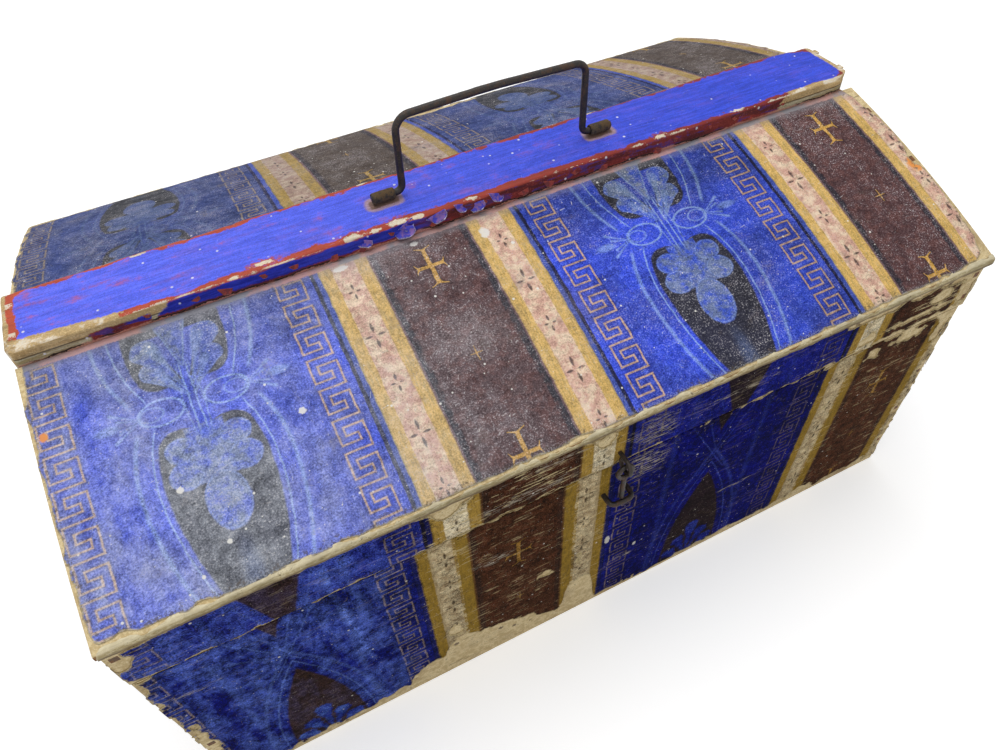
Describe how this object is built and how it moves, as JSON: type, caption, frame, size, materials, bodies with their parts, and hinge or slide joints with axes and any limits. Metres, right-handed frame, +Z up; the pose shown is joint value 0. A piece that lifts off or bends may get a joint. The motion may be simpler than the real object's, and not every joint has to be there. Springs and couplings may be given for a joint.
{
  "type": "dowry box",
  "caption": "Domed wooden keepsake box covered in block-printed paper, with a hinged lid, a painted ridge board, a folding wire handle and an iron hook latch.",
  "frame": {"origin": "centre of the underside, on the surface the box stands on", "axes": "+X along the length to the right as seen from the front, -Y to the front, +Z up"},
  "size_m": [0.4543, 0.2974, 0.2746],
  "materials": {
    "board_wood": "bare, aged, worn arrises",
    "face_paper": "distemper-printed, scuffed",
    "end_paper": "distemper-printed, scuffed",
    "lid_paper": "distemper-printed, rubbed and speckled",
    "ridge_paint": "brushed blue paint over red, chipped",
    "wire_iron": "dark oxide",
    "sheet_iron": "dark oxide, pitted",
    "nail_iron": "rusty"
  },
  "bodies": {
    "base": {"base_front_board": "board_wood", "base_back_board": "board_wood", "base_left_end": "board_wood", "base_right_end": "board_wood", "base_bottom_board": "board_wood", "base_front_paper": "face_paper", "base_back_paper": "face_paper", "base_left_paper": "end_paper", "base_right_paper": "end_paper", "latch_staple": "wire_iron", "base_hinge_eye_left": "wire_iron", "base_hinge_eye_right": "wire_iron", "base_corner_nails": "nail_iron", "base_bottom_nails": "nail_iron"},
    "lid": {"lid_front_rail": "board_wood", "lid_back_rail": "board_wood", "lid_left_end": "board_wood", "lid_right_end": "board_wood", "lid_front_panel": "board_wood", "lid_back_panel": "board_wood", "ridge_board": "ridge_paint", "lid_front_rail_paper": "face_paper", "lid_back_rail_paper": "face_paper", "lid_left_paper": "end_paper", "lid_right_paper": "end_paper", "lid_front_panel_paper": "lid_paper", "lid_back_panel_paper": "lid_paper", "handle_sleeve_left": "sheet_iron", "handle_sleeve_right": "sheet_iron", "latch_eye": "wire_iron", "lid_hinge_loop_left": "wire_iron", "lid_hinge_loop_right": "wire_iron", "lid_rail_nails": "nail_iron", "lid_panel_nails": "nail_iron", "ridge_nails": "nail_iron"},
    "handle": {"handle": "wire_iron"},
    "hook": {"latch_hook": "wire_iron"}
  },
  "joints": [
    {"name": "lid_hinge", "type": "hinge", "parent": "base", "child": "lid", "pos_m": [0, 0.1433, 0.1482], "axis": [-1, 0, 0], "range_deg": [0, 110]},
    {"name": "handle_fold", "type": "hinge", "parent": "lid", "child": "handle", "pos_m": [0.0095, 0, 0.233], "axis": [1, 0, 0], "range_deg": [-90, 90]},
    {"name": "hook_swing", "type": "hinge", "parent": "lid", "child": "hook", "pos_m": [0.003, -0.1445, 0.1528], "axis": [-1, 0, 0], "range_deg": [0, 150]}
  ]
}
